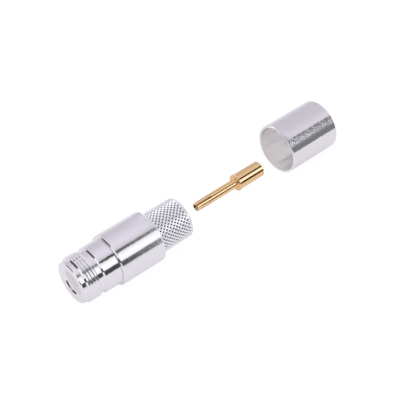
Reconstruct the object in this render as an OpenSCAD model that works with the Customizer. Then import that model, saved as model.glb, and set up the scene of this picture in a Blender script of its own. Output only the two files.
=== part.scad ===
// N-type jack for crimping on large coaxial cable, laid out as its fitting kit:
// plated body, loose centre contact on the same axis, and loose crimp ferrule set
// down behind them a little to one side.
// +X runs along the axis from the mating end to the cable end, +Z is up, and the
// origin is on the axis at the reference plane, the step at the bottom of the mating bore.

/* [Mating end] */
// Diameter of the plain nose in front of the thread
nose_d = 14.45; // [14.3:0.05:14.6]
// Length of the plain nose
nose_len = 1.8; // [1.2:0.1:2.2]
// Diameter of the bore that the mating plug's outer contact enters
mating_bore_d = 8.1; // [8.03:0.01:8.13]
// Depth of the reference plane behind the front face
mating_depth = 9.1; // [9.04:0.01:9.19]
// Diameter of the lead-in chamfer at the front face
mouth_d = 9.5; // [9.2:0.1:10]
// Inner diameter of the outer conductor behind the reference plane
line_bore_d = 7; // [6.9:0.01:7.05]
// Length of that lip
lip_len = 1.5; // [1:0.1:2]

/* [Thread 5/8-24 UNEF] */
// Diameter over the crests
thread_d = 15.8; // [15.7:0.01:15.87]
// Threads per inch
threads_per_inch = 24; // [20:4:28]
// Length of the threaded stretch
thread_len = 4.2; // [3.6:0.1:4.4]

/* [Front shell] */
// Diameter of the relief groove behind the thread
relief_d = 14.7; // [14.5:0.1:15]
// Length of the relief groove
relief_len = 1.8; // [1.2:0.1:2.2]
// Diameter of the collar
collar_d = 15.9; // [15.8:0.05:16.2]
// Length of the collar
collar_len = 6.15; // [5.5:0.05:7]
// Diameter of the spigot pressed into the rear body
spigot_d = 14.4; // [13.8:0.1:14.8]
// Length of that spigot
spigot_len = 6; // [5.4:0.1:6.4]
// Diameter of the insulator's seat
seat_d = 10.4; // [10.2:0.1:10.6]

/* [Rear body] */
// Diameter of the large plain cylinder
body_d = 17.7; // [17.4:0.1:18]
// Length of the large plain cylinder
body_len = 16.4; // [15:0.1:18]
// Size of the turned edge breaks
edge_break = 0.35; // [0.2:0.05:0.5]
// Thickness of the web that holds the insulator in
web_len = 1.5; // [1.2:0.1:2]
// Diameter of the hole through the web
web_bore_d = 8.4; // [8:0.1:9]
// Diameter of the bore for the cable's dielectric
cable_bore_d = 11.9; // [11.7:0.1:12]

/* [Knurled stub] */
// Diameter over the knurl's ridges
stub_d = 14.1; // [14:0.05:14.3]
// Length of the stub behind the large cylinder
stub_len = 12.95; // [12.8:0.05:13.5]
// Number of ridges of each hand round the stub
knurl_starts = 30; // [26:1:34]
// Diamonds along the stub
knurl_rows = 8; // [6:1:8]
// Depth of the pits between the ridges
knurl_depth = 0.38; // [0.25:0.01:0.4]

/* [Centre contact] */
// Diameter of the slotted stem
stem_d = 3.14; // [3.04:0.01:3.16]
// Length of the stem
stem_len = 17.5; // [17:0.1:18]
// Diameter of the stem at its closed-in tip
tip_d = 2.76; // [2.7:0.01:2.9]
// Diameter of the socket for the mating pin
socket_d = 1.65; // [1.62:0.01:1.68]
// Depth of the socket
socket_depth = 6.5; // [6:0.1:7]
// Number of slots between the spring fingers
slots = 4; // [2:2:4]
// Width of each slot
slot_w = 0.24; // [0.2:0.01:0.3]
// Turn of the slots about the axis
slot_turn = 20; // [0:1:89]
// Diameter of the crimp barrel
barrel_d = 5.55; // [5.4:0.05:5.7]
// Length of the crimp barrel
barrel_len = 11; // [10.5:0.1:12]
// Diameter of the shoulder at the barrel's front
shoulder_d = 5.95; // [5.8:0.05:6.1]
// Length of that shoulder
shoulder_len = 0.9; // [0.6:0.1:1.2]
// Diameter of the bore for the cable's inner conductor
wire_bore_d = 4.6; // [4.55:0.01:4.7]
// Depth of that bore
wire_bore_depth = 9.4; // [8.5:0.1:9.8]

/* [Crimp ferrule] */
// Outer diameter of the ferrule
ferrule_d = 18.05; // [17.9:0.05:18.2]
// Wall thickness of the ferrule
ferrule_wall = 0.8; // [0.7:0.05:0.9]
// Length of the ferrule
ferrule_len = 20.7; // [19:0.1:22]

/* [Layout] */
// Gap between the stub's end and the contact's tip
contact_gap = 6.65; // [2:0.05:12]
// Gap between the contact's rear end and the ferrule
ferrule_gap = 11.3; // [2:0.05:14]
// How far the ferrule lies beside the axis
ferrule_aside = 3.1; // [0:0.1:4]

/* [Hidden] */
$fn = 96;

// Clearances between pieces that seat on each other
seat_gap = 0.02;
fit_gap = 0.02;
stem_clearance = 0.08;

// Stations along X, counted from the reference plane
front_x = -mating_depth;
thread_x = front_x + nose_len;
relief_x = thread_x + thread_len;
collar_x = relief_x + relief_len;
body_x = collar_x + collar_len;
stub_x = body_x + body_len;
cable_end_x = stub_x + stub_len;
spigot_end_x = body_x + spigot_len;
web_x = spigot_end_x + seat_gap;
neck_end_x = web_x + web_len;
contact_x = cable_end_x + contact_gap;
shoulder_x = contact_x + stem_len;
barrel_end_x = shoulder_x + barrel_len;
ferrule_x = barrel_end_x + ferrule_gap;

// Thread form: 60 degree flanks, crest an eighth and root a quarter of the pitch
thread_pitch = 25.4 / threads_per_inch;
thread_root_r = thread_d / 2 - 0.6134 * thread_pitch;
thread_sides = 48;
// Points of one pitch of the profile: place along the pitch, and height as a share of the depth
thread_form = [[0, 0], [0.25, 0], [0.5625, 1], [0.6875, 1]];

// Knurl: ridges of both hands at 45 degrees, so a diamond is as long as it is wide
knurl_pitch = PI * stub_d / knurl_starts;
knurl_x = stub_x + 0.6;
knurl_end_x = knurl_x + knurl_rows * knurl_pitch;
stub_core_r = stub_d / 2 - knurl_depth - 0.06;
knurl_inner_r = stub_core_r - 0.3;

// Stem: the fingers close in over finger_taper, and a groove parts their sleeve from the rear
finger_taper = 4.8;
groove_from_tip = 9.8;
groove_len = 0.3;
groove_depth = 0.12;
rear_step = 0.03;

// Colours of the finishes
silver = [0.80, 0.80, 0.83];
gold = [0.85, 0.66, 0.38];
ptfe = [0.93, 0.93, 0.91];

// Turns a profile of [x, radius] points round the X axis
module turned(profile) {
    rotate([0, 90, 0]) rotate_extrude() polygon([for (p = profile) [p[1], p[0]]]);
}

// A straight hole along X from a to b
module hole(d, a, b) {
    translate([a, 0, 0]) rotate([0, 90, 0]) cylinder(d = d, h = b - a);
}

function on_axis(x, r, angle) = [x, r * cos(angle), r * sin(angle)];

// One row of faces between two rings of points that start at a and b
function band(a, b, n) = [for (i = [0 : n - 1]) each
    [[a + i, b + i, b + (i + 1) % n], [a + i, b + (i + 1) % n, a + (i + 1) % n]]];

// Sleeve with a right-hand helical thread, its inside hidden in the shell's wall.
// The outer sheet is one strip as wide as the pitch, wound round until it covers the length.
module thread_sleeve() {
    n = thread_sides;
    turns = ceil(thread_len / thread_pitch) + 1;
    last = n * turns;
    depth = thread_d / 2 - thread_root_r;
    start_x = thread_x - thread_pitch;
    inner_r = thread_root_r - 0.35;
    corners = len(thread_form);
    outer = [for (i = [0 : last + n]) for (q = thread_form)
        on_axis(start_x + thread_pitch * (i / n + q[0]), thread_root_r + depth * q[1], 360 * i / n)];
    inner = [for (i = [0 : last + n]) on_axis(start_x + thread_pitch * i / n, inner_r, 360 * i / n)];
    base = len(outer);
    // Index of profile corner q at step i; corner 4 is the next turn's corner 0
    function at(i, q) = q < corners ? i * corners + q : (i + n) * corners;
    function in(i) = base + i;
    function quad(a, b, c, d) = [[a, b, c], [a, c, d]];
    polyhedron(
        points = concat(outer, inner),
        faces = [
            for (i = [0 : last - 1]) for (q = [0 : corners - 1])
                each quad(at(i, q), at(i, q + 1), at(i + 1, q + 1), at(i + 1, q)),
            for (i = [0 : last - 1]) each quad(in(i), in(i + 1), in(i + 1 + n), in(i + n)),
            for (i = [0 : n - 1]) each quad(at(i, 0), at(i + 1, 0), in(i + 1), in(i)),
            for (i = [last : last + n - 1]) each quad(at(i, 0), in(i), in(i + 1), at(i + 1, 0)),
            [in(0), in(n), at(n, 0), at(0, 3), at(0, 2), at(0, 1), at(0, 0)],
            [at(last, 0), at(last, 1), at(last, 2), at(last, 3), at(last + n, 0), in(last + n), in(last)]
        ],
        convexity = 10);
}

// Sleeve with the diamond knurl: ridges cross at every second point of the grid,
// the points between are the pits, and both ends run out to the stub's core
module knurl_sleeve() {
    n = 2 * knurl_starts;
    rows = 2 * knurl_rows;
    ridge_r = stub_d / 2;
    pit_r = ridge_r - knurl_depth;
    function radius(row, i) = row == 0 || row == rows ? pit_r - 0.03 : (row + i) % 2 == 0 ? ridge_r : pit_r;
    outer = [for (row = [0 : rows]) for (i = [0 : n - 1])
        on_axis(knurl_x + row * knurl_pitch / 2, radius(row, i), 360 * i / n)];
    inner = [for (x = [knurl_x, knurl_end_x]) for (i = [0 : n - 1]) on_axis(x, knurl_inner_r, 360 * i / n)];
    front_ring = len(outer);
    rear_ring = front_ring + n;
    // Each cell is split along the ridge that crosses it
    function cell(row, i) = let (
        j = (i + 1) % n,
        a = row * n + i, b = row * n + j, c = (row + 1) * n + j, d = (row + 1) * n + i)
        (row + i) % 2 == 0 ? [[a, c, b], [a, d, c]] : [[a, d, b], [b, d, c]];
    polyhedron(
        points = concat(outer, inner),
        faces = concat(
            [for (row = [0 : rows - 1]) for (i = [0 : n - 1]) each cell(row, i)],
            band(front_ring, 0, n),
            band(rows * n, rear_ring, n),
            band(rear_ring, front_ring, n)),
        convexity = 10);
}

// Threaded front with the mating bore, its collar, and the spigot that holds it in the rear body
module front_shell() {
    nose_r = nose_d / 2;
    core_r = thread_root_r - 0.05;
    collar_r = collar_d / 2;
    relief_r = relief_d / 2;
    color(silver) difference() {
        union() {
            turned([
                [front_x, 0], [front_x, nose_r - 0.2], [front_x + 0.2, nose_r],
                [thread_x, nose_r], [thread_x, core_r], [relief_x, core_r],
                [relief_x, relief_r], [collar_x, relief_r],
                [collar_x, collar_r - edge_break], [collar_x + edge_break, collar_r],
                [body_x - 0.1, collar_r], [body_x, collar_r - 0.1],
                [body_x, spigot_d / 2], [spigot_end_x - 0.3, spigot_d / 2],
                [spigot_end_x, spigot_d / 2 - 0.3], [spigot_end_x, 0]
            ]);
            intersection() {
                thread_sleeve();
                turned([
                    [thread_x, 0], [thread_x, nose_r + 0.05], [thread_x + 0.55, thread_d / 2 + 0.05],
                    [relief_x - 0.35, thread_d / 2 + 0.05], [relief_x, thread_d / 2 - 0.35], [relief_x, 0]
                ]);
            }
        }
        hole(mating_bore_d, front_x - 1, 0);
        turned([[front_x - 1, 0], [front_x - 1, mouth_d / 2 + 1], [front_x, mouth_d / 2],
            [front_x + (mouth_d - mating_bore_d) / 2, mating_bore_d / 2],
            [front_x + (mouth_d - mating_bore_d) / 2, 0]]);
        hole(line_bore_d, -1, lip_len + 1);
        hole(seat_d, lip_len, spigot_end_x + 1);
    }
}

// Large cylinder with the knurled stub that the cable's braid is crimped on
module rear_body() {
    body_r = body_d / 2;
    end_r = stub_core_r - 0.5;
    color(silver) difference() {
        union() {
            turned([
                [body_x + seat_gap, 0], [body_x + seat_gap, body_r - edge_break],
                [body_x + seat_gap + edge_break, body_r],
                for (a = [0 : 15 : 90]) [stub_x - edge_break * (1 - sin(a)), body_r - edge_break * (1 - cos(a))],
                [stub_x, stub_core_r], [cable_end_x - 0.7, stub_core_r],
                for (a = [15 : 15 : 90]) [cable_end_x - 0.7 * (1 - sin(a)), stub_core_r - 0.5 * (1 - cos(a))],
                [cable_end_x, end_r], [cable_end_x, 0]
            ]);
            knurl_sleeve();
        }
        hole(spigot_d + 2 * fit_gap, body_x - 1, web_x);
        hole(web_bore_d, body_x, stub_x);
        hole(cable_bore_d, web_x + web_len, cable_end_x + 1);
    }
}

// Insulator that carries the contact, held between the shell's lip and the body's web
module insulator() {
    color(ptfe) difference() {
        turned([
            [lip_len + seat_gap, 0], [lip_len + seat_gap, seat_d / 2 - fit_gap],
            [spigot_end_x, seat_d / 2 - fit_gap], [spigot_end_x, web_bore_d / 2 - fit_gap],
            [neck_end_x, web_bore_d / 2 - fit_gap], [neck_end_x, 0]
        ]);
        hole(stem_d + 2 * stem_clearance, 0, neck_end_x + 1);
    }
}

// Centre contact turned from one rod: slotted stem with its groove, shoulder and crimp barrel
module centre_contact() {
    stem_r = stem_d / 2;
    groove_x = contact_x + groove_from_tip;
    color(gold) difference() {
        turned([
            [contact_x, 0], [contact_x, tip_d / 2 - 0.15], [contact_x + 0.15, tip_d / 2],
            [contact_x + finger_taper, stem_r], [groove_x, stem_r],
            [groove_x, stem_r - groove_depth], [groove_x + groove_len, stem_r - groove_depth],
            [groove_x + groove_len, stem_r - rear_step], [shoulder_x, stem_r - rear_step],
            [shoulder_x, shoulder_d / 2 - 0.2], [shoulder_x + 0.2, shoulder_d / 2],
            [shoulder_x + shoulder_len - 0.2, shoulder_d / 2], [shoulder_x + shoulder_len, barrel_d / 2],
            [barrel_end_x - 0.15, barrel_d / 2], [barrel_end_x, barrel_d / 2 - 0.15], [barrel_end_x, 0]
        ]);
        hole(socket_d, contact_x - 1, contact_x + socket_depth);
        hole(wire_bore_d, barrel_end_x - wire_bore_depth, barrel_end_x + 1);
        for (k = [0 : slots / 2 - 1])
            rotate([slot_turn + 360 * k / slots, 0, 0])
                translate([contact_x - 1, -stem_d, -slot_w / 2])
                    cube([socket_depth + 1, 2 * stem_d, slot_w]);
    }
}

// Plain thin ferrule, open at both ends
module crimp_ferrule() {
    outer_r = ferrule_d / 2;
    inner_r = outer_r - ferrule_wall;
    lip = 0.12;
    end_x = ferrule_x + ferrule_len;
    translate([0, ferrule_aside, 0]) color(silver) difference() {
        turned([
            [ferrule_x, 0], [ferrule_x, outer_r - lip], [ferrule_x + lip, outer_r],
            [end_x - lip, outer_r], [end_x, outer_r - lip], [end_x, 0]
        ]);
        hole(2 * inner_r, ferrule_x - 1, end_x + 1);
    }
}

front_shell();
rear_body();
insulator();
centre_contact();
crimp_ferrule();
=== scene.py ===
import math

import bmesh
import bpy
from mathutils import Matrix, Vector


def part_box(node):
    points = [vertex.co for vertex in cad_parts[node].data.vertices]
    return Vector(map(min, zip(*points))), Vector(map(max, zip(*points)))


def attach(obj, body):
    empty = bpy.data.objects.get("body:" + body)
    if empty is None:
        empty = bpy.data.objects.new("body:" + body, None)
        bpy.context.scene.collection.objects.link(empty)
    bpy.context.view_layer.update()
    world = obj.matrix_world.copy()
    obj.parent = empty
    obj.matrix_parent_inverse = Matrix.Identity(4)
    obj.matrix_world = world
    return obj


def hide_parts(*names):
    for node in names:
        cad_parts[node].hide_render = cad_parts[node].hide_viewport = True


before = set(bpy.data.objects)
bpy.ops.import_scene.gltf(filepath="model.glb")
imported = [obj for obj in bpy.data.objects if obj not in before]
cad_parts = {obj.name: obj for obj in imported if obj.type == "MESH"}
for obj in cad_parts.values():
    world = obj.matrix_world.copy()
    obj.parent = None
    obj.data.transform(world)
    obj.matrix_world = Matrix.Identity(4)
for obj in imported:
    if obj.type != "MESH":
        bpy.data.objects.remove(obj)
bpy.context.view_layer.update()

# ---------------------------------------------------------------------------
# Front shell: the threaded end that a plug's coupling nut screws on.
# Brass bar, turned on a lathe, then silver plated. Its spigot is pressed into
# the rear body. The origin is the reference plane at the bottom of the bore.
# ---------------------------------------------------------------------------
mm = 0.001
silver = (0.93, 0.915, 0.955, 1.0)
matt_silver = (0.96, 0.94, 0.94, 1.0)
# painted shade: the dark colour painted into hollows such as the knurl's pits
painted_shade_silver = (0.085, 0.08, 0.125, 1.0)
around = 240  # faces round a turned piece
sharp_angle = math.radians(50)
crisp_edge = 0.04 * mm
fine_edge = 0.05 * mm
soft_edge = 0.08 * mm
bore_edge = 0.1 * mm

shell_low, shell_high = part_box("front_shell")
front_x = shell_low.x
nose_r = 14.45 / 2 * mm
nose_len = 1.55 * mm
nose_chamfer = 0.2 * mm
bore_r = 8.1 / 2 * mm
mouth_r = 9.5 / 2 * mm
mouth_step = 0.17 * mm
mouth_step_r = bore_r + 0.44 * mm
lead_in_len = 0.8 * mm
line_bore_r = 3.5 * mm
lip_len = 1.5 * mm
seat_r = 5.2 * mm
thread_r = 15.8 / 2 * mm
thread_len = 4.45 * mm
thread_pitch = 25.4 / 24 * mm
thread_depth = 0.18 * thread_pitch
thread_start_step = 0.17 * mm
thread_run_out = 0.35 * mm
thread_rows = 140
relief_r = 14.7 / 2 * mm
relief_len = 1.8 * mm
collar_r = shell_high.y
collar_len = 6.15 * mm
collar_chamfer = 0.42 * mm
spigot_r = 7.2 * mm
spigot_round = 0.2 * mm
thread_x = front_x + nose_len
relief_x = thread_x + thread_len
collar_x = relief_x + relief_len
body_x = collar_x + collar_len
spigot_end_x = shell_high.x


def filleted(corners):
    """Outline of (x, radius, fillet) corners, with an arc at each corner that has a fillet."""
    outline = []
    steps = 4
    lead = 0.25  # length of the short flat before and after an arc, as a share of the fillet
    for i, (x, r, fillet) in enumerate(corners):
        here = Vector((x, r))
        if not fillet:
            outline.append(here)
            continue
        before = (Vector(corners[i - 1][:2]) - here).normalized()
        after = (Vector(corners[(i + 1) % len(corners)][:2]) - here).normalized()
        half_angle = before.angle(after) / 2
        reach = fillet / math.tan(half_angle)
        start, end = here + before * reach, here + after * reach
        centre = here + (before + after).normalized() * (fillet / math.sin(half_angle))
        outline.append(start + before * fillet * lead)
        for k in range(steps + 1):
            point = start.lerp(end, k / steps) - centre
            outline.append(centre + point.normalized() * fillet)
        outline.append(end + after * fillet * lead)
    return outline


def turned(name, rings, faces_round=around):
    """Closed solid of revolution about X. A ring is a fixed (x, radius), or a function
    of the angle that gives one, and the last ring joins the first."""
    mesh = bmesh.new()
    rows = []
    for ring in rings:
        row = []
        for k in range(faces_round):
            angle = 2 * math.pi * k / faces_round
            x, r = ring(angle) if callable(ring) else ring
            row.append(mesh.verts.new((x, r * math.cos(angle), r * math.sin(angle))))
        rows.append(row)
    for row, following in zip(rows, rows[1:] + rows[:1]):
        for k in range(faces_round):
            j = (k + 1) % faces_round
            mesh.faces.new((row[k], row[j], following[j], following[k]))
    bmesh.ops.recalc_face_normals(mesh, faces=mesh.faces)
    for face in mesh.faces:
        face.smooth = True
    data = bpy.data.meshes.new(name)
    mesh.to_mesh(data)
    mesh.free()
    data.set_sharp_from_angle(angle=sharp_angle)
    piece = bpy.data.objects.new(name, data)
    bpy.context.scene.collection.objects.link(piece)
    return piece


def thread_height(turns):
    """Share of the full depth at a place along the pitch: a flat crest, a sloping flank on
    each side of it, and a narrow root."""
    crest_middle, crest_half, flank = 0.625, 0.2, 0.27
    off_crest = abs(turns % 1.0 - crest_middle) - crest_half
    return 1.0 - min(max(off_crest, 0.0) / flank, 1.0)


def thread_ring(x):
    """Ring of the helical thread, chamfered where it starts and run out at the relief."""
    start_limit = nose_r + thread_start_step + (x - thread_x)
    end_limit = thread_r - max(0.0, x - (relief_x - thread_run_out))
    first_crest_turn = 0.448

    def at(angle):
        turns = (x - thread_x) / thread_pitch + first_crest_turn - angle / (2 * math.pi)
        r = thread_r - thread_depth + thread_depth * thread_height(turns)
        return x, min(r, start_limit, end_limit)
    return at


bore_and_nose = filleted([
    (spigot_end_x, seat_r, 0),
    (lip_len, seat_r, 0),
    (lip_len, line_bore_r, bore_edge),
    (0.0, line_bore_r, bore_edge),
    (0.0, bore_r, fine_edge),
    (front_x + lead_in_len, bore_r, soft_edge),
    (front_x + mouth_step, mouth_step_r, soft_edge),
    (front_x, mouth_r, soft_edge),
    (front_x, nose_r - nose_chamfer, fine_edge),
    (front_x + nose_chamfer, nose_r, fine_edge),
    (thread_x, nose_r, 0),
])
thread = [thread_ring(thread_x + thread_len * k / thread_rows) for k in range(1, thread_rows)]
relief_to_spigot = filleted([
    (relief_x, thread_r - thread_depth, 0),
    (relief_x, relief_r, soft_edge),
    (collar_x, relief_r, crisp_edge),
    (collar_x, collar_r - collar_chamfer, crisp_edge),
    (collar_x + collar_chamfer, collar_r, 0.06 * mm),
    (body_x, collar_r, soft_edge),
    (body_x, spigot_r, 0),
    (spigot_end_x, spigot_r, spigot_round),
    (spigot_end_x, seat_r + 0.5 * mm, 0),
])
shell = turned("threaded_shell", bore_and_nose + thread + relief_to_spigot)


class Wire:
    """A node's output. Arithmetic on it adds Math nodes."""

    def __init__(self, finish, socket):
        self.finish, self.socket = finish, socket

    def calculated(self, operation, first, second):
        return self.finish.node("ShaderNodeMath", {"operation": operation}, {0: first, 1: second})

    def __add__(self, other):
        return self.calculated("ADD", self, other)

    def __mul__(self, other):
        return self.calculated("MULTIPLY", self, other)

    def __sub__(self, other):
        return self.calculated("SUBTRACT", self, other)

    def __rsub__(self, other):
        return self.calculated("SUBTRACT", other, self)

    __radd__ = __add__
    __rmul__ = __mul__


class Finish:
    def __init__(self, owner):
        owner.use_nodes = True
        self.owner, self.tree = owner, owner.node_tree
        self.tree.nodes.clear()

    def node(self, kind, settings=None, inputs=None, output=0):
        """Adds a node: first its settings, then the values or wires of its sockets."""
        made = self.tree.nodes.new(kind)
        for key, value in (settings or {}).items():
            if key == "stops":
                ramp = made.color_ramp
                while len(ramp.elements) < len(value):
                    ramp.elements.new(0.5)
                for element, (position, colour) in zip(ramp.elements, value):
                    element.position, element.color = position, colour
            else:
                setattr(made, key, value)
        for key, value in (inputs or {}).items():
            if isinstance(value, Wire):
                self.tree.links.new(value.socket, made.inputs[key])
            else:
                made.inputs[key].default_value = value
        return Wire(self, made.outputs[output] if made.outputs else None)

    def shown(self, shader):
        self.node("ShaderNodeOutputMaterial", {}, {"Surface": shader})
        return self.owner


def turning_marks(finish, along, crosswise):
    """Noise drawn out round the axis: along and crosswise are its waves per millimetre."""
    place = finish.node("ShaderNodeTexCoord", output="Object")
    drawn = finish.node("ShaderNodeVectorMath", {"operation": "MULTIPLY"},
                        {0: place, 1: (along / mm, crosswise / mm, crosswise / mm)})
    return finish.node("ShaderNodeTexNoise", {}, {"Vector": drawn, "Scale": 1.0, "Detail": 2.0})


def place_on_piece(finish):
    """The x, y and z of a place on the piece, in metres."""
    place = finish.node("ShaderNodeTexCoord", output="Object")
    parted = finish.node("ShaderNodeSeparateXYZ", {}, {"Vector": place})
    return [Wire(finish, socket) for socket in parted.socket.node.outputs]


def faded(finish, value, low, high, at_low=0.0, at_high=1.0):
    """Goes smoothly from at_low to at_high while the value goes from low to high."""
    return finish.node("ShaderNodeMapRange", {"interpolation_type": "SMOOTHSTEP"}, {
        "Value": value, "From Min": low, "From Max": high, "To Min": at_low, "To Max": at_high})


def inside_radius(finish, low_r, high_r, axis_y=0.0):
    """1 nearer the axis than low_r, 0 beyond high_r."""
    y, z = place_on_piece(finish)[1:]
    y = y - axis_y
    radius = finish.node("ShaderNodeMath", {"operation": "SQRT"}, {0: y * y + z * z})
    return faded(finish, radius, low_r, high_r, 1.0, 0.0)


def mixed(finish, share, first, second):
    """A colour that goes from the first to the second as the share goes from 0 to 1."""
    return finish.node("ShaderNodeMix", {"data_type": "RGBA"}, {0: share, 6: first, 7: second}, output=2)


def plated(name, colour, roughness, grain, ripple, waves, shine=1.0, matt=None, axis_y=0.0,
           painted_shade_radii=None, speckle=None):
    """Bright plate over turned metal. grain and ripple are the heights of its fine and coarse
    marks, and waves are the fine marks' waves per millimetre along and across the axis.
    matt is a radius inside which the plate is duller, with its added roughness, its lost shine
    and its colour there. The two shade radii give painted shade: nearer the axis than both, the plate is
    painted dark.
    speckle is the roughness of small spots outside the matt radius, and the four heights between
    which they come and go."""
    finish = Finish(bpy.data.materials.new(name))
    marks = finish.node("ShaderNodeBump", {}, {
        "Strength": 1.0, "Distance": grain, "Height": turning_marks(finish, *waves)})
    marks = finish.node("ShaderNodeBump", {}, {
        "Strength": 1.0, "Distance": ripple, "Height": turning_marks(finish, 1.3, 0.5), "Normal": marks})
    cloud = 0.08
    rough = turning_marks(finish, 0.5, 0.4) * cloud + (roughness - cloud / 2)
    metallic = shine
    if matt:
        matt_r, added_roughness, lost_shine, matt_colour = matt
        dull = inside_radius(finish, matt_r, matt_r + 0.1 * mm, axis_y)
        rough = rough + dull * added_roughness
        metallic = shine - dull * lost_shine
        colour = mixed(finish, dull, colour, matt_colour)
    if speckle:
        spot_roughness, foot, foot_end, head, head_end = speckle
        height = place_on_piece(finish)[2]
        spots = faded(finish, turning_marks(finish, 2.5, 2.5), 0.42, 0.62, 0.0, spot_roughness)
        band = faded(finish, height, foot, foot_end) * faded(finish, height, head, head_end, 1.0, 0.0)
        rough = rough + spots * band * (1.0 - dull)
    # Painted shade: nearer the axis than both radii the plate turns dark, standing in for the shade in
    # hollows such as the knurl's pits.
    if painted_shade_radii:
        colour = mixed(finish, inside_radius(finish, *painted_shade_radii), colour, painted_shade_silver)
    shader = finish.node("ShaderNodeBsdfPrincipled", {}, {
        "Base Color": colour, "Metallic": metallic, "Roughness": rough, "Normal": marks})
    return finish.shown(shader)


shell.data.materials.append(
    plated("silver_plate", silver, 0.09, 0.01 * mm, 0.018 * mm, (1.8, 1.4),
           matt=(bore_r + 0.05 * mm, 0.3, 0.85, matt_silver)))
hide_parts("front_shell")
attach(shell, "body")

# ---------------------------------------------------------------------------
# Rear body: one turned and silver-plated piece. The large plain cylinder holds
# the shell's spigot; the cable's braid is crimped on the diamond-knurled stub.
# ---------------------------------------------------------------------------
knurl_silver = (0.95, 0.947, 0.985, 1.0)
fit_gap = 0.02 * mm  # on the radius and at the end of a pressed-in piece

cable_end_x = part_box("rear_body")[1].x
body_r = 17.7 / 2 * mm
body_len = 16.4 * mm
body_chamfer = 0.35 * mm
web_len = 1.5 * mm
web_bore_r = 4.2 * mm
cable_bore_r = 11.9 / 2 * mm
rim_r = cable_bore_r + 0.13 * mm
stub_r = 14.1 / 2 * mm
stub_x = body_x + body_len
knurl_starts = 30
knurl_rows = 8
knurl_facets = 12  # faces along and round each diamond
pit_depth = 0.44 * mm
knurl_pitch = 2 * math.pi * stub_r / knurl_starts
plain_len = 0.6 * mm
knurl_x = stub_x + plain_len
knurl_end_x = knurl_x + knurl_rows * knurl_pitch
knurl_run_out = 0.45  # of a pitch
core_r = stub_r - pit_depth
seat_x = body_x + fit_gap
web_x = spigot_end_x + fit_gap


def ridge_height(turns):
    """Height across one knurl ridge: a slightly crowned flat top and flanks that curve down."""
    flat, flank, crown, drop = 0.37, 0.38, 0.12, 0.75
    off_crest = abs((turns + 0.5) % 1.0 - 0.5) * 2
    fall = min(max((off_crest - flat) / flank, 0.0), 1.0)
    return 1.0 - crown * off_crest * off_crest - drop * fall * fall * (3 - 2 * fall)


def knurl_ring(x):
    """Ring of the diamond knurl: two crossing sets of flat-topped ridges that run out at both
    ends and leave small deep pits between them."""
    along = (x - knurl_x) / knurl_pitch
    run_out = min(1.0, min(along, knurl_rows - along) / knurl_run_out)

    def at(angle):
        turn = angle * knurl_starts / (2 * math.pi)
        height = max(ridge_height(along + turn), ridge_height(along - turn))
        return x, stub_r - (stub_r - core_r) * max(0.0, 1.0 - height) * run_out
    return at


bore_and_cylinder = filleted([
    (cable_end_x, rim_r, 0),
    (cable_end_x, cable_bore_r, bore_edge),
    (web_x + web_len, cable_bore_r, bore_edge),
    (web_x + web_len, web_bore_r, bore_edge),
    (web_x, web_bore_r, bore_edge),
    (web_x, spigot_r + fit_gap, 0),
    (seat_x, spigot_r + fit_gap, 0),
    (seat_x, body_r - body_chamfer, soft_edge),
    (seat_x + body_chamfer, body_r, 0.15 * mm),
    (stub_x, body_r, 0.32 * mm),
    (stub_x, stub_r, fine_edge),
    (knurl_x, stub_r, 0),
])
knurl_steps = knurl_rows * knurl_facets
knurl = [knurl_ring(knurl_x + (knurl_end_x - knurl_x) * k / knurl_steps) for k in range(1, knurl_steps)]
stub_end = filleted([
    (knurl_end_x, stub_r, 0),
    (cable_end_x, stub_r, 0.5 * mm),
    (cable_end_x, rim_r, 0),
])
rear_body = turned("knurled_body", bore_and_cylinder + knurl + stub_end[:-1], knurl_starts * knurl_facets)
rear_body.data.materials.append(
    plated("silver_plate_grainy", silver, 0.12, 0.014 * mm, 0.02 * mm, (1.9, 1.9),
           matt=(cable_bore_r + 0.05 * mm, 0.1, 0.2, matt_silver)))


def refinish(piece, material, low_x, high_x, low_r, high_r):
    """Gives the faces between two stations and two radii a material of their own."""
    piece.data.materials.append(material)
    for face in piece.data.polygons:
        r = math.hypot(face.center.y, face.center.z)
        if low_x < face.center.x < high_x and low_r < r < high_r:
            face.material_index = len(piece.data.materials) - 1


# The knurl gets painted shade in its pits: near the core radius its plate is painted dark.
refinish(rear_body,
         plated("silver_plate_knurled", knurl_silver, 0.12, 0.016 * mm, 0.024 * mm, (1.9, 1.9),
                shine=0.8, painted_shade_radii=(core_r + 0.2 * mm, core_r + 0.34 * mm)),
         knurl_x, knurl_end_x, cable_bore_r + 0.2 * mm, stub_r + 0.1 * mm)
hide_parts("rear_body")
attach(rear_body, "body")

# ---------------------------------------------------------------------------
# Insulator: white fluoropolymer turned from rod. It is trapped between the
# shell's lip and the body's web, and carries the contact's stem.
# ---------------------------------------------------------------------------
stem_r = 3.14 / 2 * mm
around_small = 128  # faces round a small turned piece

bead_low, bead_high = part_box("insulator")
bead_r = bead_high.y
bead_neck_r = web_bore_r - fit_gap
stem_hole_r = stem_r + 0.08 * mm
insulator = turned("insulator_bead", filleted([
    (bead_high.x, stem_hole_r, soft_edge),
    (bead_low.x, stem_hole_r, soft_edge),
    (bead_low.x, bead_r, bore_edge),
    (spigot_end_x, bead_r, bore_edge),
    (spigot_end_x, bead_neck_r, 0),
    (bead_high.x, bead_neck_r, bore_edge),
]), around_small)


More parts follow.
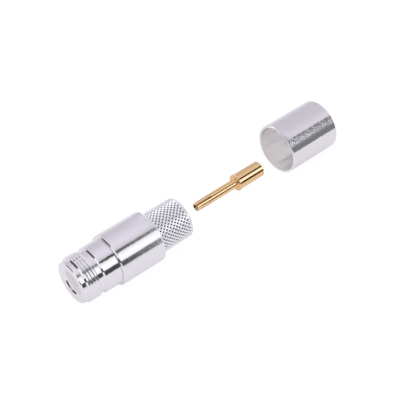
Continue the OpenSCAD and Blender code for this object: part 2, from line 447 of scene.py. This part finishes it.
def fluoropolymer():
    """Waxy white plastic with faint turning marks."""
    finish = Finish(bpy.data.materials.new("white_fluoropolymer"))
    marks = finish.node("ShaderNodeBump", {}, {
        "Strength": 1.0, "Distance": 0.004 * mm, "Height": turning_marks(finish, 6.0, 0.3)})
    tone = mixed(finish, turning_marks(finish, 0.6, 0.5), (0.88, 0.88, 0.86, 1.0), (0.93, 0.93, 0.92, 1.0))
    shader = finish.node("ShaderNodeBsdfPrincipled", {}, {
        "Base Color": tone, "Roughness": 0.5, "Subsurface Weight": 0.2,
        "Subsurface Radius": (1.0, 1.0, 0.9), "Subsurface Scale": 0.4 * mm, "Normal": marks})
    return finish.shown(shader)


insulator.data.materials.append(fluoropolymer())
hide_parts("insulator")
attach(insulator, "body")

# ---------------------------------------------------------------------------
# Centre contact: turned from one rod and gold plated. Four slots make the
# stem's end into spring fingers for the plug's pin, a groove parts them from the
# rear, and the wide barrel is crimped on the cable's inner conductor.
# ---------------------------------------------------------------------------
gold = (0.97, 0.66, 0.345, 1.0)
# painted shade for the inside of the contact's socket
shaded_gold = (0.15, 0.1, 0.05, 1.0)

contact_low, contact_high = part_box("centre_contact")
contact_x = contact_low.x
barrel_end_x = contact_high.x
rear_stem_r = stem_r - 0.03 * mm
groove_r = stem_r - 0.12 * mm
tip_r = 2.92 / 2 * mm
tip_round = 0.32 * mm
socket_r = 1.65 / 2 * mm
socket_depth = 6.5 * mm
socket_end_x = contact_x + socket_depth
taper_end_x = contact_x + 4.8 * mm
groove_x = contact_x + 12.7 * mm
groove_end_x = groove_x + 0.3 * mm
shoulder_x = contact_x + 17.5 * mm
shoulder_end_x = shoulder_x + 0.9 * mm
shoulder_r = 5.95 / 2 * mm
barrel_r = 5.55 / 2 * mm
wire_bore_r = 2.3 * mm
wire_bore_x = barrel_end_x - 9.4 * mm
blind_r = 0.02 * mm  # at the centre of a blind hole's end
slot_width = 0.24 * mm
slot_turn = math.radians(20)
contact = turned("slotted_contact", filleted([
    (contact_x, socket_r, 0.06 * mm),
    (contact_x, tip_r, tip_round),
    (taper_end_x, stem_r, 1.5 * mm),
    (groove_x, stem_r, 0.03 * mm),
    (groove_x, groove_r, 0),
    (groove_end_x, groove_r, 0),
    (groove_end_x, rear_stem_r, 0.03 * mm),
    (shoulder_x, rear_stem_r, 0.25 * mm),
    (shoulder_x, shoulder_r, 0.5 * mm),
    (shoulder_end_x, shoulder_r, 0.15 * mm),
    (shoulder_end_x, barrel_r, 0),
    (barrel_end_x, barrel_r, 0.14 * mm),
    (barrel_end_x, wire_bore_r, soft_edge),
    (wire_bore_x, wire_bore_r, bore_edge),
    (wire_bore_x, blind_r, 0),
    (socket_end_x, blind_r, 0),
    (socket_end_x, socket_r, fine_edge),
]), around_small)


def slot_cutter(turn):
    """A thin box across the stem, from in front of the tip to the socket's end."""
    start_x = contact_x - socket_depth / 9
    box = Matrix.Diagonal((socket_end_x - start_x, 4 * stem_r, slot_width, 1))
    place = Matrix.Translation(((start_x + socket_end_x) / 2, 0, 0))
    mesh = bmesh.new()
    bmesh.ops.create_cube(mesh, size=1, matrix=Matrix.Rotation(turn, 4, "X") @ place @ box)
    data = bpy.data.meshes.new("slot")
    mesh.to_mesh(data)
    mesh.free()
    cutter = bpy.data.objects.new("slot", data)
    bpy.context.scene.collection.objects.link(cutter)
    return cutter


def cut(piece, cutter):
    """Takes the cutter's shape out of the piece for good."""
    modifier = piece.modifiers.new("slot", "BOOLEAN")
    modifier.operation, modifier.solver, modifier.object = "DIFFERENCE", "EXACT", cutter
    bpy.context.view_layer.objects.active = piece
    bpy.ops.object.modifier_apply(modifier=modifier.name)
    bpy.data.objects.remove(cutter)


for quarter in range(2):
    cut(contact, slot_cutter(slot_turn + quarter * math.pi / 2))
gold_marks = (0.0015 * mm, 0.004 * mm, (4.0, 1.2))
contact.data.materials.append(plated("gold_plate", gold, 0.08, *gold_marks))
# Painted shade: the socket's inside gets a dark, rough gold that stands in for the shade down the narrow
# hole.
refinish(contact, plated("gold_plate_painted_socket_shade", shaded_gold, 0.3, *gold_marks),
         contact_x - 0.1 * mm, socket_end_x + 0.1 * mm, 0.0, socket_r + 0.03 * mm)
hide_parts("centre_contact")
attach(contact, "contact")

# ---------------------------------------------------------------------------
# Crimp ferrule: a thin tube, open at both ends, silver plated and a little
# duller than the body. It slides over the braid and is squeezed on the stub.
# ---------------------------------------------------------------------------
ferrule_silver = (0.92, 0.905, 0.935, 1.0)

ferrule_low, ferrule_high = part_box("crimp_ferrule")
ferrule_y = (ferrule_low.y + ferrule_high.y) / 2
ferrule_r = 18.05 / 2 * mm
ferrule_bore_r = ferrule_r - 0.8 * mm
bore_chamfer = 0.1 * mm
outer_chamfer = 0.22 * mm
ferrule = turned("ferrule_tube", filleted([
    (ferrule_low.x + bore_chamfer, ferrule_bore_r, 0.03 * mm),
    (ferrule_low.x, ferrule_bore_r + bore_chamfer, 0.03 * mm),
    (ferrule_low.x, ferrule_r - outer_chamfer, crisp_edge),
    (ferrule_low.x + outer_chamfer, ferrule_r, crisp_edge),
    (ferrule_high.x, ferrule_r, 0.14 * mm),
    (ferrule_high.x, ferrule_bore_r, bore_edge),
]))
ferrule.data.transform(Matrix.Translation((0, ferrule_y, 0)))
ferrule.data.materials.append(
    plated("satin_silver_plate", ferrule_silver, 0.06, 0.014 * mm, 0.03 * mm, (1.9, 1.9),
           matt=(ferrule_bore_r + 0.05 * mm, 0.12, 0.3, matt_silver), axis_y=ferrule_y,
           speckle=(0.3, *(share * ferrule_r for share in (0.57, 0.68, 0.81, 0.87)))))
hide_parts("crimp_ferrule")
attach(ferrule, "ferrule")

floor_z = -ferrule_r - 0.02 * mm
tent_r = 200 * mm
white = (1.0, 1.0, 1.0)
lilac = (1.04, 1.0, 1.09)
bluish = (1.0, 1.0, 1.04)
amber = (1.0, 0.8, 0.5)


def card(name, from_deg, to_deg, from_x, to_x, levels, tint=white, inward=0):
    """Curved panel about the X axis, seen only in reflections. Angles are degrees up from +Y,
    x and inward are in millimetres, inward being how far it hangs inside the tent, and levels
    are its brightness at even steps between the angles."""
    mesh = bmesh.new()
    radius = tent_r - inward * mm
    last = len(levels) - 1
    steps = 8 * last
    layer = mesh.loops.layers.uv.new("across")
    columns = []
    for k in range(steps + 1):
        angle = math.radians(from_deg + (to_deg - from_deg) * k / steps)
        columns.append([mesh.verts.new((x * mm, radius * math.cos(angle), radius * math.sin(angle)))
                        for x in (from_x, to_x)])
    for k in range(steps):
        face = mesh.faces.new((columns[k][0], columns[k][1], columns[k + 1][1], columns[k + 1][0]))
        for loop, share in zip(face.loops, (k, k, k + 1, k + 1)):
            loop[layer].uv = (share / steps, 0.5)
    data = bpy.data.meshes.new(name)
    mesh.to_mesh(data)
    mesh.free()
    panel = bpy.data.objects.new(name, data)
    bpy.context.scene.collection.objects.link(panel)
    finish = Finish(bpy.data.materials.new(name))
    place = finish.node("ShaderNodeTexCoord", output="UV")
    across = finish.node("ShaderNodeSeparateXYZ", {}, {"Vector": place})
    stops = [(k / last, (*(level * share for share in tint), 1.0)) for k, level in enumerate(levels)]
    shade = finish.node("ShaderNodeValToRGB", {"stops": stops}, {"Fac": across})
    glow = finish.node("ShaderNodeEmission", {}, {"Color": shade, "Strength": 1.0})
    data.materials.append(finish.shown(glow))
    panel.visible_camera = panel.visible_diffuse = panel.visible_shadow = False


# the tent's roof, and the softbox over its front
card("tent_roof", -12, 108, -60, 197,
     (0.66, 0.61, 0.60, 0.585, 0.585, 0.615, 0.65, 0.69, 0.725, 0.76, 0.76, 0.70, 0.58), lilac)
card("tent_roof_end", -12, 119, 197, 500,
     (0.66, 0.62, 0.60, 0.585, 0.585, 0.595, 0.60, 0.605, 0.61, 0.64, 0.68, 0.72, 0.66), lilac)
card("tent_end", 119, 183, 265, 500, (0.75, 0.75), lilac)
card("softbox", 8, 104, -60, 40, (1.1, 1.1), inward=6)

# what the knurl mirrors
card("tent_over_knurl_start", -12, 180, 105, 112,
     (0.3, 0.5, 0.9, 0.95, 0.75, 0.58, 0.56, 0.57, 0.6, 0.62, 0.6, 0.5, 0.5), bluish, inward=10)
card("tent_over_knurl", -12, 180, 112, 123,
     (0.1, 0.2, 3.4, 4.0, 1.4, 0.45, 0.4, 0.45, 0.9, 1.6, 2.2, 3.0, 3.6), bluish, inward=10)
card("knurl_flag", -16, 2, 100, 124, (0.03, 0.03), inward=14)

# the tent's dark opening on the near side, and the bright strips in it
card("dark_opening", 108, 178, -300, 135, (0.06, 0.06, 0.06))
card("dark_opening_body", 108, 178, 84, 104, (0.18, 0.18, 0.17, 0.16, 0.16), inward=3)
card("dark_opening_rear", 103, 183, 135, 191, (0.05, 0.05), amber)
card("dark_flag_rear", 176, 187, 78, 116, (0.05, 0.05), amber, inward=120)
card("dim_opening", 119, 183, 191, 265,
     (0.30, 0.14, 0.15, 0.19, 0.24, 0.31, 0.37, 0.37, 0.31, 0.25, 0.22, 0.21, 0.20, 0.20, 0.21, 0.22, 0.22))
card("strip_light", 120, 156, -20, 128, (0.8, 0.95, 1.06, 1.1, 1.06, 0.9), inward=8)
card("strip_light_rear", 125, 158, 128, 188, (1.2, 1.5, 1.55, 1.3), (1.0, 1.0, 1.15), inward=8)

# in front of the mating end: a panel, and flags for the thread, the mouth and the chamfers
card("front_panel", 62, 150, -800, -300, (0.95, 0.95))
card("front_horizon", 150, 180, -800, -300, (0.06, 0.06))
card("thread_fill", 104, 121, 55.5, 61, (0.66, 0.8, 0.95), inward=10)
card("thread_flag", 60, 176, -225, -90, (0.54, 0.45, 0.32, 0.2, 0.25, 0.3, 0.2), inward=10)
card("thread_flag_top", 5, 62, -125, -45, (0.62, 0.58, 0.58), inward=8)
card("mouth_flag", 62, 108, -264, -234, (0.07, 0.07), inward=12)
card("mouth_flag_low", 9, 38, -165, -98, (0.05, 0.05), inward=14)
card("corner_flag", 2, 60, -340, -142, (0.07, 0.07), inward=12)

bpy.ops.mesh.primitive_plane_add(size=3, location=(0, 0, floor_z))
floor = bpy.context.object
floor.name = "floor"


def floor_finish():
    """Matt white board. What the camera sees is lifted to white and keeps a soft shadow."""
    finish = Finish(bpy.data.materials.new("floor_board"))
    seen = finish.node("ShaderNodeLightPath", output="Is Camera Ray")
    mirrored = (finish.node("ShaderNodeLightPath", output="Is Glossy Ray")
                + finish.node("ShaderNodeLightPath", output="Is Transmission Ray"))
    board = finish.node("ShaderNodeBsdfDiffuse", {}, {"Color": (0.86, 0.86, 0.86, 1.0)})
    in_metal, to_camera = [
        finish.node("ShaderNodeEmission", {}, {"Color": (1.0, 0.98, 1.0, 1.0), "Strength": strength})
        for strength in (0.72, 1.06)]
    lit = finish.node("ShaderNodeMixShader", {}, {0: seen, 1: in_metal, 2: to_camera})
    share = seen * 0.9 + mirrored * 0.5
    return finish.shown(finish.node("ShaderNodeMixShader", {}, {0: share, 1: board, 2: lit}))


floor.data.materials.append(floor_finish())

world = bpy.data.worlds.new("white_room")
bpy.context.scene.world = world
room = Finish(world)
seen = room.node("ShaderNodeLightPath", output="Is Camera Ray")
walls = room.node("ShaderNodeBackground", {}, {"Color": (0.70, 0.68, 0.73, 1.0), "Strength": 1.0})
backdrop = room.node("ShaderNodeBackground", {}, {"Color": (1.0, 1.0, 1.0, 1.0), "Strength": 1.0})
surround = room.node("ShaderNodeMixShader", {}, {0: seen, 1: walls, 2: backdrop})
room.node("ShaderNodeOutputWorld", {}, {"Surface": surround})


def soft_lamp(name, size, energy, place, target):
    """A square lamp that lights the matt surfaces and stays out of the reflections."""
    data = bpy.data.lights.new(name, "AREA")
    data.size, data.energy = size, energy
    lamp = bpy.data.objects.new(name, data)
    lamp.location = place
    lamp.rotation_euler = (Vector(target) - lamp.location).to_track_quat("-Z", "Y").to_euler()
    lamp.visible_glossy = False
    bpy.context.scene.collection.objects.link(lamp)


soft_lamp("soft_lamp", 0.35, 0.7, (0.0, -0.1, 0.45), (0.04, 0, 0))
soft_lamp("front_lamp", 0.3, 0.6, (-0.38, -0.16, 0.16), (0, 0, 0))

# ---------------------------------------------------------------------------
# Camera: above and in front of the mating end, looking along the laid-out kit.
# ---------------------------------------------------------------------------
view_azimuth = math.radians(-40.32)
view_elevation = math.radians(45.93)
view_distance = 306.2 * mm
aim = Vector((33.06, -11.56, 17.87)) * mm
camera_data = bpy.data.cameras.new("camera")
camera_data.sensor_width = 36
camera_data.lens = 89.41
camera_data.clip_start = 0.01
camera = bpy.data.objects.new("camera", camera_data)
bpy.context.scene.collection.objects.link(camera)
back = Vector((math.sin(view_azimuth) * math.cos(view_elevation),
               -math.cos(view_azimuth) * math.cos(view_elevation), math.sin(view_elevation)))
camera.location = aim + back * view_distance
camera.rotation_euler = back.to_track_quat("Z", "Y").to_euler()
bpy.context.scene.camera = camera
bpy.context.scene.view_settings.view_transform = "Standard"
